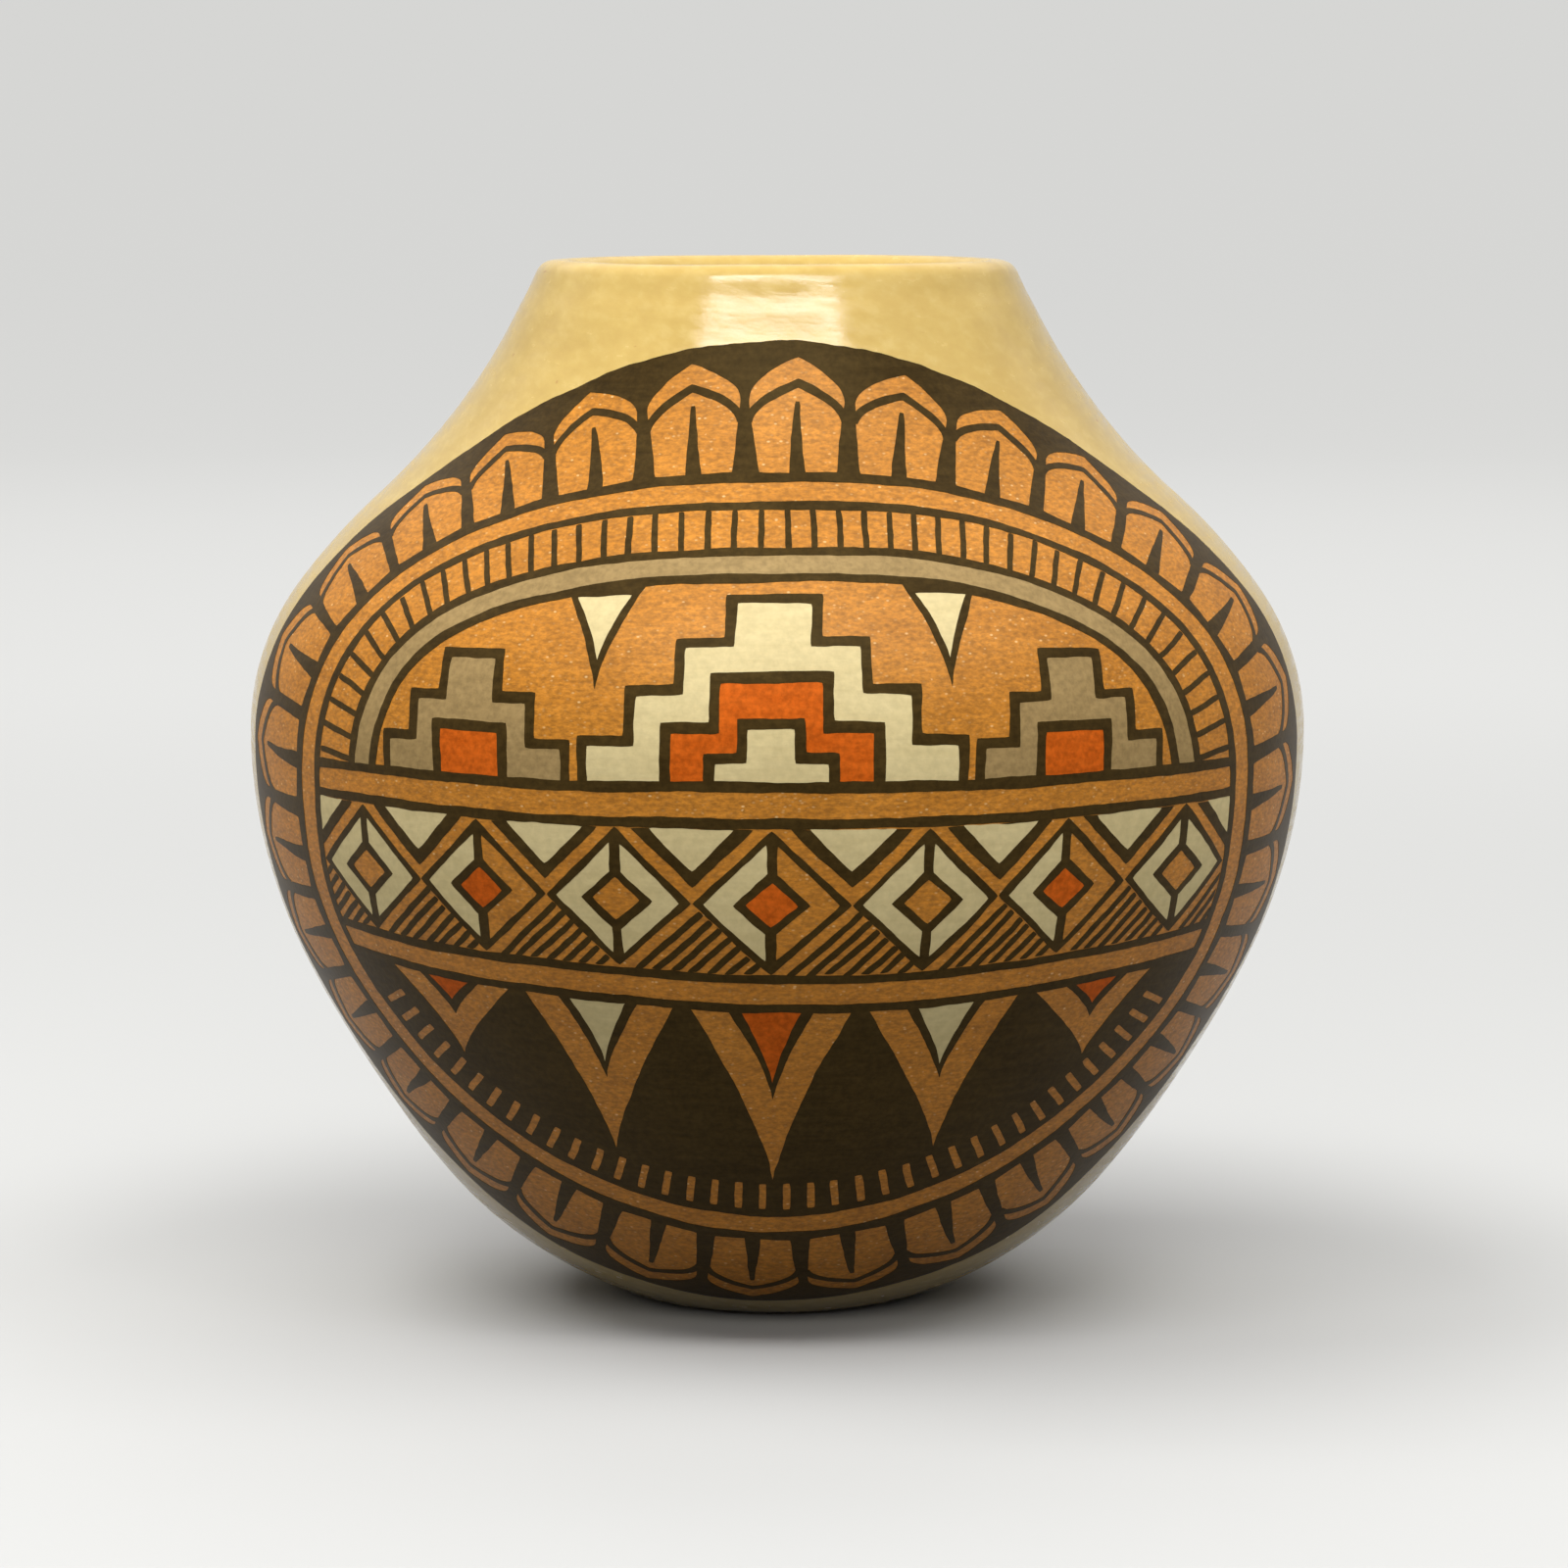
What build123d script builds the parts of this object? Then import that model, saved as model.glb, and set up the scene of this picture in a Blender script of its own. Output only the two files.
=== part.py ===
from build123d import *
import math
import os

# A hand-built pottery jar, as the potter puts it together: a base pad pressed into a shallow mould,
# ropes of clay laid on it ring by ring with slanted lap joints, a last coil rounded into the lip,
# and a thin coat of polished slip over the outside and the lip.
# Frame: origin at the centre of the flat base, +Z up, millimetres and degrees.

# Finished outline. The belly is the widest circle, where the wall stands upright.
BELLY_DIAMETER = 140.0

# Going up from the belly: tight shoulder, long slope, hollow throat, straight neck
SHOULDER_RADIUS = 32.5
SHOULDER_TURN = 37.0
SLOPE_RADIUS = 84.0
SLOPE_TURN = 11.0
THROAT_RADIUS = 80.0
THROAT_TURN = 21.0
NECK_LENGTH = 6.5

# Going down from the belly: round flank, long taper, base curve cut off by the flat base
FLANK_RADIUS = 67.0
FLANK_TURN = 26.0
TAPER_RADIUS = 150.0
TAPER_TURN = 13.0
BASE_CURVE_RADIUS = 56.0
BASE_CURVE_TURN = 33.0

# Clay
WALL = 5.0
FLOOR = 7.0
BASE_PAD_REACH = 24.0     # from the foot up the outside to the first coil
ROPE_DIAMETER = 9.0       # a rope of this thickness is pinched out to the wall's thickness
LAP_ANGLE = 40.0          # slant of the lap joints, down and inwards from square to the wall

# Polished slip
SLIP = 0.4
SLIP_START = 1.5          # bare clay left above the foot, along the outside

# Headings are angles from the +X direction of the section plane, growing towards the axis.
# The wall is upright at the belly.
QUARTER_TURN = 90.0
HALF_TURN = 180.0
FOOT_HEADING = QUARTER_TURN - FLANK_TURN - TAPER_TURN - BASE_CURVE_TURN
NECK_HEADING = QUARTER_TURN + SHOULDER_TURN + SLOPE_TURN - THROAT_TURN

LOWER_ARCS = [
    (BASE_CURVE_RADIUS, BASE_CURVE_TURN),
    (TAPER_RADIUS, TAPER_TURN),
    (FLANK_RADIUS, FLANK_TURN),
]
# The throat turns away from the axis, so its turn is negative
UPPER_ARCS = [
    (SHOULDER_RADIUS, SHOULDER_TURN),
    (SLOPE_RADIUS, SLOPE_TURN),
    (THROAT_RADIUS, -THROAT_TURN),
]


def direction(heading):
    """Unit vector along a heading in the section plane."""
    return Vector(math.cos(math.radians(heading)), math.sin(math.radians(heading)))


def arc_step(radius, start, end):
    """How far an arc of this radius moves while its heading turns from start to end."""
    a, b = math.radians(start), math.radians(end)
    return Vector(math.sin(b) - math.sin(a), math.cos(a) - math.cos(b)) * radius


def foot_point():
    """Where the finished outline meets the plane that the jar stands on."""
    run = 0.0
    heading = FOOT_HEADING
    for radius, turn in LOWER_ARCS:
        run += arc_step(radius, heading, heading + turn).X
        heading += turn
    return Vector(BELLY_DIAMETER / 2 - run, 0)


def contour(inset, start_heading=FOOT_HEADING):
    """Edges of the finished outline moved inwards by inset, from the base curve up to the neck's top."""
    skipped = start_heading - FOOT_HEADING
    point = foot_point() + arc_step(BASE_CURVE_RADIUS, FOOT_HEADING, start_heading)
    point += direction(start_heading + QUARTER_TURN) * inset
    heading = start_heading
    edges = []
    for number, (radius, turn) in enumerate(LOWER_ARCS + UPPER_ARCS):
        swept = turn - skipped if number == 0 else turn
        side = math.copysign(1, turn)
        arc = JernArc(point, direction(heading), radius - side * inset, swept)
        edges.append(arc)
        point = arc @ 1
        heading += swept
    edges.append(PolarLine(point, NECK_LENGTH, heading))
    return edges


def lip(edges, radius):
    """Half round over the top of a wall whose outside ends with these edges."""
    return JernArc(edges[-1] @ 1, direction(NECK_HEADING), radius, HALF_TURN)


def floor_heading():
    """Heading of the cavity's base curve where it meets the floor."""
    centre_height = BASE_CURVE_RADIUS * math.cos(math.radians(FOOT_HEADING))
    cavity_radius = BASE_CURVE_RADIUS - SLIP - WALL
    return math.degrees(math.acos((centre_height - FLOOR) / cavity_radius))


def clay_section():
    """Half section of all the clay, from the axis to the lip, and the edges of its outside."""
    outside = contour(SLIP)
    cavity = contour(SLIP + WALL, floor_heading())
    foot = outside[0] @ 0
    # The bare foot rolls from the outside down to the flat base
    foot_roll = foot.Y / (1 - math.cos(math.radians(FOOT_HEADING)))
    flat_edge = Vector(foot.X - foot_roll * math.sin(math.radians(FOOT_HEADING)), 0)
    floor_edge = cavity[0] @ 0
    floor_centre = Vector(0, floor_edge.Y)
    boundary = [
        Line((0, 0), flat_edge),
        JernArc(flat_edge, direction(0), foot_roll, FOOT_HEADING),
        *outside,
        lip(outside, WALL / 2),
        *cavity,
        Line(floor_edge, floor_centre),
        Line(floor_centre, (0, 0)),
    ]
    return make_face(boundary), Wire(outside)


def slip_section():
    """Half section of the slip: a coat over the outside, round the lip and down inside the neck."""
    start = FOOT_HEADING + math.degrees(SLIP_START / BASE_CURVE_RADIUS)
    sides = []
    for depth in (0.0, SLIP):
        edges = contour(depth, start)
        over = lip(edges, WALL / 2 + SLIP - depth)
        inside = PolarLine(over @ 1, NECK_LENGTH, NECK_HEADING + HALF_TURN)
        sides.append([*edges, over, inside])
    finished, under = sides
    lower_end = Line(finished[0] @ 0, under[0] @ 0)
    inner_end = Line(finished[-1] @ 1, under[-1] @ 1)
    return make_face([*finished, inner_end, *under, lower_end])


def lap_joints(outside):
    """Joint lines from the base pad up, each as its point on the outside and its way into the wall."""
    course = math.pi / 4 * ROPE_DIAMETER ** 2 / WALL
    count = round((outside.length - BASE_PAD_REACH) / course)
    pitch = (outside.length - BASE_PAD_REACH) / count
    joints = []
    for number in range(count):
        reach = BASE_PAD_REACH + number * pitch
        point = outside.position_at(reach, position_mode=PositionMode.LENGTH)
        upwards = outside.tangent_at(reach, position_mode=PositionMode.LENGTH)
        joints.append((point, upwards.rotate(Axis.Z, QUARTER_TURN + LAP_ANGLE)))
    return joints


def joint_ends(joint):
    """Ends of a joint line drawn out past both faces of the wall."""
    point, inwards = joint
    return point - inwards * WALL, point + inwards * (3 * WALL)


def base_patch(joint):
    """Part of the section plane below the first joint."""
    outer, inner = joint_ends(joint)
    corners = [outer, inner, (0, inner.Y), (0, -WALL), (outer.X, -WALL)]
    return make_face(Polyline(*corners, close=True))


def course_patch(lower, upper):
    """Part of the section plane between two joints."""
    corners = [*joint_ends(lower), *reversed(joint_ends(upper))]
    return make_face(Polyline(*corners, close=True))


def above_lip(outside):
    """A line square to the neck and clear above the lip, which closes the last course."""
    above = outside @ 1 + direction(NECK_HEADING) * (2 * WALL)
    return above, direction(NECK_HEADING + QUARTER_TURN)


def turned(section):
    """Solid of revolution of a half section drawn with X outwards and Y up."""
    return revolve(Plane.XZ * section, Axis.Z)


def clay_pieces():
    """The base pad, the wall coils from the lowest up, and the rim coil, by name."""
    clay, outside = clay_section()
    joints = lap_joints(outside)
    pieces = {"base_pad": turned(clay & base_patch(joints[0]))}
    for number, (lower, upper) in enumerate(zip(joints, joints[1:]), start=1):
        pieces[f"wall_coil_{number:02d}"] = turned(clay & course_patch(lower, upper))
    pieces["rim_coil"] = turned(clay & course_patch(joints[-1], above_lip(outside)))
    return pieces


def main():
    os.makedirs("parts", exist_ok=True)
    pieces = clay_pieces()
    pieces["slip_coat"] = turned(slip_section())
    for name, solid in pieces.items():
        export_step(solid, f"parts/{name}.step")
        print(f"{name}: {solid.volume:.0f} mm3")
    coils = sum(solid.volume for name, solid in pieces.items() if name != "slip_coat")
    print(f"clay in pieces {coils:.1f} mm3, clay in one turn {turned(clay_section()[0]).volume:.1f} mm3")
    size = Compound(list(pieces.values())).bounding_box().size
    print(f"whole jar {size.X:.2f} x {size.Y:.2f} x {size.Z:.2f} mm")
    print(f"foot {2 * foot_point().X:.1f} mm across")


main()
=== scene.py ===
import math

import bpy
import numpy as np
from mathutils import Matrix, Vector, kdtree, noise
from mathutils.geometry import delaunay_2d_cdt


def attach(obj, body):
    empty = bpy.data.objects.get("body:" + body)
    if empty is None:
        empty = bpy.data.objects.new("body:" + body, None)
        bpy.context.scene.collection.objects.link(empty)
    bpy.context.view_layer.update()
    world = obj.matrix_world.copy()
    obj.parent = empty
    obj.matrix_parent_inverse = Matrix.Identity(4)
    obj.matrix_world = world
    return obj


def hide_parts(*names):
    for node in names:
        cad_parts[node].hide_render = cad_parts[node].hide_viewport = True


# A coil-built pottery jar: bare clay inside, burnished slip outside, and a medallion painted on the
# front and again on the back. Sizes are in millimetres, and meshes are made in metres.
MM = 0.001

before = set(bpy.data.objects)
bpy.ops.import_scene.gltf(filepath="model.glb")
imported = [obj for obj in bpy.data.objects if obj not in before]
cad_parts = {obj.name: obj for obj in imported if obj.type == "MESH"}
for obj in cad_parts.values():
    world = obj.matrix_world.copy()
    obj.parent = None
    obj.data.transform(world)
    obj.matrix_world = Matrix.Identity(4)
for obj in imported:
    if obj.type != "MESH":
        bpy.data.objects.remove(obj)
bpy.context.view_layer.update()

# Finished outline of the jar, as arcs that run into each other: radius and turn in degrees
BELLY_RADIUS = 70.0
LOWER_ARCS = [(56.0, 33.0), (150.0, 13.0), (67.0, 26.0)]
UPPER_ARCS = [(32.5, 37.0), (84.0, 11.0), (80.0, -21.0)]
NECK_LENGTH = 6.5
LIP_RADIUS = 2.9
SLIP_START = 1.5
OUTLINE_STEP = 0.3

# Burnished slip. Its face lies a little inside the outline, so that the paint stays within it too.
SLIP_SINK = 0.18
SLIP_THICKNESS = 0.12
RING_STEP = 0.9
LIP_RING_STEP = 0.35
TURN_STEPS = 320
SLOPE_STEP = 0.2

# The slight waves that scraping and polishing by hand leave
WAVE_COUNT = 24
WAVE_LENGTHS = (15.0, 40.0)
WAVE_HEIGHT = 0.07
WAVE_SEED = 11

# The shallow hollow that smoothing leaves under the lip
HOLLOW_DEPTH = 0.09
HOLLOW_DROP = 2.6
HOLLOW_REACH = 1.5

# Paint, as thin slabs that stand on the slip
PAINT_LIFT = {"black": 0.085, "ochre": 0.05, "red": 0.065, "cream": 0.065, "grey": 0.065}
PAINT_BED = -0.03
PAINT_EDGE_STEP = 0.55

# Points between the painted edges, and how the painted faces are cut into triangles
PAINT_GRID = 1.25
GRID_CLEARANCE = 0.45
GRID_SHARE = 0.97
INSIDE_ONLY = 1
WELD = 1e-5
TINY = 1e-9

# How the hand strays, as size and wave length: slow drift of the drawing, shake of each line, rough edge
HAND_DRIFT = (0.7, 30.0)
BRUSH_SHAKE = (0.22, 7.0)
BRUSH_EDGE = (0.1, 1.6)
CORNER_EASE = 0.12
SEED_STEP = 1000.5
SECOND_NOISE = Vector((31.7, 47.3, 0.5))

# Medallion, drawn flat about its centre
HALF_WIDTH = 92.0
HALF_HEIGHT = 77.0
DEPTH_BELOW = 74.8
SQUARENESS_ABOVE = 2.5
SQUARENESS_BELOW = 2.0
OVAL_POINTS = 144
OUTLINE_SAMPLES = 1440
LINE = 1.3

# The ball that carries the flat drawing to the jar, with one heading for the front and one for the back
CHART_RADIUS = 69.0
CHART_HEIGHT = 66.0
CHART_TILT = math.radians(-4.0)
CHART_HEADINGS = [math.radians(-0.5), math.radians(179.5)]

# Rings of the medallion, as insets from its outline
FEATHER_OUTER = 1.9
FEATHER_INNER = 18.6
RING_LINE_OUTER = 20.2
RING_LINE_INNER = 23.4
FIELD = 24.8

# Feathers of the outer ring
FEATHER_COUNT = 30
FEATHER_ROOT_WIDTH = 11.6
FEATHER_TIP_WIDTH = 14.6
FEATHER_TIP_LENGTH = 5.6
FEATHER_TIP_STEPS = 8
FEATHER_BAR_DROP = 3.2
FEATHER_BAR_WIDTH = 1.2
QUILL_ROOT_HALF_WIDTH = 1.3
QUILL_TIP_HALF_WIDTH = 0.35
QUILL_TIP = 2.6
QUILL_OVERLAP = 0.5

# Fine lines along the rings: a fringe over an arc in the upper field, and short strokes in the lower one
FRINGE_COUNT = 104
FRINGE_DEPTH = 6.3
FRINGE_OVERLAP = 0.3
FRINGE_WIDTH = 0.85
ARC_BAND = 2.8
STROKE_OVERLAP = 1.0
STROKE_LENGTH = 5.0
STROKE_WIDTH = 1.1

# Band across the middle, painted over the edges of both fields
BAND_HALF_HEIGHT = 15.0
TUCK = 0.65
BAND_BAR = 3.0
CELL_HALF_HEIGHT = BAND_HALF_HEIGHT - 2 * LINE - BAND_BAR

# Diamonds of the band with their kernels, as half width and half height, and what fills the gaps between
DIAMOND_COUNT = 7
DIAMOND_HALF_WIDTH = 9.6
DIAMOND_INNER_SHARE = 0.86
KERNEL_RIM = (4.8, 4.4)
KERNEL = (3.2, 2.9)
GAP_MARGIN = 1.5
GAP_HEART = 3.0
HATCH_COUNT = 7
HATCH_STEP = 2.3
HATCH_WIDTH = 0.85

# Terraces on the band: centre, half width, height, steps, and layers as inset and colour
SIDE_LAYERS = [(0.0, "black"), (1.3, "grey"), (3.8, "black"), (5.1, "red")]
MAIN_LAYERS = [(0.0, "black"), (1.3, "cream"), (4.6, "black"), (5.9, "red")]
DOOR_LAYERS = [(0.0, "black"), (1.3, "cream")]
TERRACES = [
    (-39.0, 14.0, 16.8, 3, SIDE_LAYERS),
    (39.0, 14.0, 16.8, 3, SIDE_LAYERS),
    (0.0, 24.0, 24.3, 4, MAIN_LAYERS),
    (0.0, 8.0, 8.0, 2, DOOR_LAYERS),
]
LEAST_STEP = 2.3

# Blades that hang from the band: centre, depth and the colour of the heart
BLADES = [
    (-46.0, 14.0, "red"),
    (-23.0, 26.0, "cream"),
    (0.0, 30.0, "red"),
    (23.0, 26.0, "cream"),
    (46.0, 14.0, "red"),
]
BLADE_HALF_WIDTH = 10.6
BLADE_STEPS = 12
BLADE_HOLLOW = 1.35
CORE_WIDTH_SHARE = 0.55
CORE_DEPTH_SHARE = 0.5
HEART_SIDE_INSET = 1.6
HEART_TIP_INSET = 2.6

# Small drops that hang from the arc between the terraces
DROP_CENTRES = [-22.0, 22.0]
DROP_TOP = 41.3
DROP_HALF_WIDTH = 5.9
DROP_DEPTH = 15.3
DROP_OVERLAP = 0.4
DROP_SIDE_INSET = 2.2
DROP_TIP_INSET = 6.3

# Soft patterns of the materials: size, detail, roughness, and a turn of the axes where they lean
STRAIGHT = (0.0, 0.0, 0.0)
SLIP_CLOUDS = ((10, 10, 7), 5.0, 0.65)
SLIP_BLOTCHES = ((2.6, 2.6, 1.4), 4.0, 0.55, (0.3, 0.3, 0.0))
SLIP_POLISH = ((8, 8, 0.8), 2.0, 0.5, (0.06, 0.06, 0.0))
SLIP_FLECKS = ((2.4, 2.4, 1.6), 1.0, 0.5)
PAINT_WASH = ((12, 12, 9), 4.0, 0.65)
PAINT_STREAKS = ((6, 6, 0.9), 3.0, 0.6)
GRAIN_FINENESS = (2.0, 0.6)
CLAY_SCRAPE = ((16, 16, 1.9), 3.0, 0.5)
CLAY_MOTTLE = ((16, 16, 16), 4.0, 0.6)

# Slip: its tones, the ranges of the patterns that bring them out, and how strong they get
SLIP_DEEP = (0.514, 0.343, 0.082, 1)
SLIP_CLEAR = (0.570, 0.391, 0.101, 1)
SLIP_PALE = (0.70, 0.53, 0.20, 1)
SLIP_DARK = (0.45, 0.275, 0.06, 1)
SLIP_RUST = (0.36, 0.15, 0.035, 1)
CLOUD_RANGE = (0.35, 0.65)
PALE_RANGE = (0.5, 0.72)
DARK_RANGE = (0.5, 0.28)
BLOTCH_SHARE = (0.0, 0.24)
FLECK_RANGE = (0.765, 0.80)
FLECK_SHARE = (0.0, 0.5)
SLIP_SPECULAR = 0.54
SLIP_ROUGHNESS = 0.2
GLOSS_RANGE = (0.72, 1.28)
GLOSS_ROUGHNESS = (0.1, 0.28)
SLIP_RELIEF = 0.05
BLOTCH_RELIEF_SHARE = 0.6
POLISH_RELIEF_SHARE = 0.28

# Paints: deep and pale tone, roughness, specular level, tint of the sheen, contrast and size of the grains
PAINTS = {
    "black": {
        "deep": (0.032, 0.0182, 0.0044, 1),
        "pale": (0.052, 0.0310, 0.0084, 1),
        "roughness": 0.42,
        "specular": 0.10,
        "sheen": (1.0, 0.8, 0.4, 1),
        "contrast": 0.2,
        "grain": (0.8, 0.8, 0.8),
    },
    "ochre": {
        "deep": (0.385, 0.142, 0.0105, 1),
        "pale": (0.49, 0.19, 0.0195, 1),
        "roughness": 0.5,
        "specular": 0.45,
        "sheen": (1.0, 0.9, 0.72, 1),
        "contrast": 0.28,
        "grain": (0.85, 0.85, 0.42),
        "temper": True,
    },
    "red": {
        "deep": (0.48, 0.085, 0.006, 1),
        "pale": (0.58, 0.113, 0.010, 1),
        "roughness": 0.45,
        "specular": 0.10,
        "sheen": (1.0, 0.76, 0.4, 1),
        "contrast": 0.2,
        "grain": (0.8, 0.8, 0.8),
    },
    "cream": {
        "deep": (0.595, 0.482, 0.240, 1),
        "pale": (0.658, 0.541, 0.280, 1),
        "roughness": 0.5,
        "specular": 0.12,
        "sheen": (1.0, 1.0, 1.0, 1),
        "contrast": 0.06,
        "grain": (1.0, 1.0, 1.0),
    },
    "grey": {
        "deep": (0.283, 0.190, 0.077, 1),
        "pale": (0.338, 0.229, 0.095, 1),
        "roughness": 0.55,
        "specular": 0.12,
        "sheen": (1.0, 0.9, 0.7, 1),
        "contrast": 0.14,
        "grain": (0.8, 0.8, 0.8),
    },
}
WASH_RANGE = (0.75, 1.25)
GRAIN_RANGE = (0.33, 0.67)
PAINT_RELIEF = 0.03

# Pale and dark grains of clay temper in a paint, the pale ones also painted glints of mica
TEMPER_SIZE = (0.8, 0.8, 0.5)
TEMPER_DARK = (0.22, 0.07, 0.008, 1)
TEMPER_PALE_AND_GLINT = (0.92, 0.66, 0.32, 1)
TEMPER_TONE_RANGE = (0.35, 0.85)
# The palest grains are also the boldest, as painted glints of mica
TEMPER_GLINT_RANGE = (0.7, 0.9)
TEMPER_STRENGTH = (0.2, 0.6)
TEMPER_EDGE_RANGE = (0.34, 0.1)

# Bare clay
CLAY_DARK = (0.44, 0.28, 0.12, 1)
CLAY_PALE = (0.55, 0.37, 0.17, 1)
CLAY_RANGE = (0.3, 0.7)
CLAY_ROUGHNESS = 0.8
CLAY_SPECULAR = 0.3
CLAY_RELIEF = 0.3

# Sockets of the node that mixes two colours
MIX_SHARE = 0
MIX_FIRST = 6
MIX_SECOND = 7
MIX_RESULT = 2

# Camera
CAMERA_SIDE = 0.9
CAMERA_DISTANCE = 764.0
CAMERA_HEIGHT = 155.7
CAMERA_PITCH = math.radians(6.54)
CAMERA_LENS = 132.4

# Stage, in metres
FLOOR_RADIUS = 1.9
WALL_BEND = 0.8
WALL_BEND_STEPS = 24
WALL_HEIGHT = 1.3
STAGE_SIDES = 96

# Floor, paler to the eye than to the light that it throws back on the jar. Far out it glows evenly.
FLOOR_COLOUR = (0.50, 0.50, 0.49, 1)
FAR_COLOUR = (0.125, 0.125, 0.122, 1)
FLOOR_BOUNCE = (0.145, 0.145, 0.137, 1)
FLOOR_ROUGHNESS = 0.9
FLOOR_SPECULAR = 0.2
GLOW_START = 0.15
GLOW_END = 0.9
GLOW = 1.23

# Ceiling, as the light that it throws on the jar and as the eye sees it
CEILING_LIGHT = 0.3
CEILING_SEEN = 1.0

# Lamps aimed at the jar's middle: azimuth from the front towards the right and elevation in degrees,
# distance, width and height in metres, power in watts, and whether the jar mirrors the lamp
JAR_MIDDLE = (0.0, 0.0, 0.08)
LAMPS = {
    "key": (-3, 57, 1.1, 0.9, 0.2, 6.6, True),
    "left": (-85, 58, 1.3, 1.0, 0.8, 12.0, False),
    "right": (70, 58, 1.3, 1.0, 0.8, 7.5, False),
    "front": (0, 25, 1.7, 1.4, 0.7, 8.6, False),
    "rear": (180, 40, 1.7, 1.6, 1.2, 12.0, False),
}


# Outline and surface of the jar

def stretches():
    """The outline from the foot up and over the lip, as lengths and bends."""
    first_radius, first_turn = LOWER_ARCS[0]
    yield SLIP_START, 1 / first_radius
    yield first_radius * math.radians(first_turn) - SLIP_START, 1 / first_radius
    for radius, turn in LOWER_ARCS[1:] + UPPER_ARCS:
        yield radius * math.radians(abs(turn)), math.copysign(1 / radius, turn)
    yield NECK_LENGTH, 0.0
    yield LIP_RADIUS * math.pi, 1 / LIP_RADIUS
    yield NECK_LENGTH, 0.0


def foot():
    """Radius and heading of the outline where it leaves the ground."""
    start = math.radians(90.0 - sum(turn for _, turn in LOWER_ARCS))
    heading = start
    radius = BELLY_RADIUS
    for bend, turn in LOWER_ARCS:
        radius -= bend * (math.sin(heading + math.radians(turn)) - math.sin(heading))
        heading += math.radians(turn)
    return radius, start


def outline():
    """Rows of reach along the outline, radius, height and heading, from the slip's lower edge on."""
    radius, heading = foot()
    height, reach = 0.0, 0.0
    rows = []
    for length, bend in stretches():
        count = math.ceil(length / OUTLINE_STEP)
        step = length / count
        for _ in range(count):
            after = heading + bend * step
            if bend:
                radius += (math.sin(after) - math.sin(heading)) / bend
                height += (math.cos(heading) - math.cos(after)) / bend
            else:
                radius += step * math.cos(heading)
                height += step * math.sin(heading)
            heading = after
            reach += step
            if reach > SLIP_START - OUTLINE_STEP / 2:
                rows.append((reach, radius, height, heading))
    return np.array(rows).T


REACH, RADIUS, HEIGHT, HEADING = outline()
LIP_START = REACH[-1] - NECK_LENGTH - math.pi * LIP_RADIUS
LIP_END = REACH[-1] - NECK_LENGTH


def hand_waves(points):
    """Height of the hand-made waves at points of the outline's surface."""
    chance = np.random.default_rng(WAVE_SEED)
    ways = chance.normal(size=(WAVE_COUNT, 3))
    ways /= np.linalg.norm(ways, axis=1)[:, None]
    lengths = chance.uniform(*WAVE_LENGTHS, WAVE_COUNT)
    phases = chance.uniform(0, 2 * math.pi, WAVE_COUNT)
    swing = np.sin(points @ (ways / lengths[:, None]).T * 2 * math.pi + phases) * lengths
    total = swing.sum(axis=1) / math.sqrt((lengths ** 2).sum() / 2)
    return WAVE_HEIGHT * np.tanh(total)


def on_jar(turn, reach, lift):
    """Points on the hand-finished face, by turn from the front, reach along the outline and lift."""
    radius = np.interp(reach, REACH, RADIUS)
    height = np.interp(reach, REACH, HEIGHT)
    heading = np.interp(reach, REACH, HEADING)
    around = np.stack([np.sin(turn), -np.cos(turn)], axis=1)
    base = np.column_stack([around * radius[:, None], height])
    outwards = np.column_stack([around * np.sin(heading)[:, None], -np.cos(heading)])
    hollow = HOLLOW_DEPTH * np.exp(-((reach - LIP_START + HOLLOW_DROP) / HOLLOW_REACH) ** 2)
    return base + outwards * (lift - SLIP_SINK - hollow + hand_waves(base))[:, None]


def face_normals(turn, reach):
    """Outward unit normals of the hand-finished face."""
    twist = SLOPE_STEP / BELLY_RADIUS
    across = on_jar(turn + twist, reach, 0.0) - on_jar(turn - twist, reach, 0.0)
    up = on_jar(turn, reach + SLOPE_STEP, 0.0) - on_jar(turn, reach - SLOPE_STEP, 0.0)
    normals = np.cross(across, up)
    return normals / np.linalg.norm(normals, axis=1)[:, None]


def new_piece(name, points, faces):
    """A smooth piece of the jar, with points in millimetres."""
    mesh = bpy.data.meshes.new(name)
    mesh.from_pydata((np.asarray(points) * MM).tolist(), [], faces)
    mesh.shade_smooth()
    piece = bpy.data.objects.new(name, mesh)
    bpy.context.scene.collection.objects.link(piece)
    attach(piece, "root")
    return piece


def burnished_slip():
    """The slip as a closed thin shell: outer face up and over the lip, inner face back."""
    body = np.linspace(REACH[0], LIP_START, round((LIP_START - REACH[0]) / RING_STEP))
    lip = np.linspace(LIP_START, LIP_END, round((LIP_END - LIP_START) / LIP_RING_STEP))
    inside = np.linspace(LIP_END, REACH[-1], round(NECK_LENGTH / RING_STEP))
    rings = np.concatenate([body, lip[1:], inside[1:]])
    loop = np.concatenate([rings, rings[::-1]])
    lifts = np.concatenate([np.zeros(len(rings)), np.full(len(rings), -SLIP_THICKNESS)])
    turns = np.arange(TURN_STEPS) * (2 * math.pi / TURN_STEPS)
    points = on_jar(np.tile(turns, len(loop)), np.repeat(loop, TURN_STEPS), np.repeat(lifts, TURN_STEPS))
    faces = []
    for ring in range(len(loop)):
        low = ring * TURN_STEPS
        high = (ring + 1) % len(loop) * TURN_STEPS
        for k in range(TURN_STEPS):
            beside = (k + 1) % TURN_STEPS
            faces.append((low + k, low + beside, high + beside, high + k))
    piece = new_piece("burnished_slip", points, faces)
    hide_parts("slip_coat")
    return piece


# Flat shapes

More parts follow.
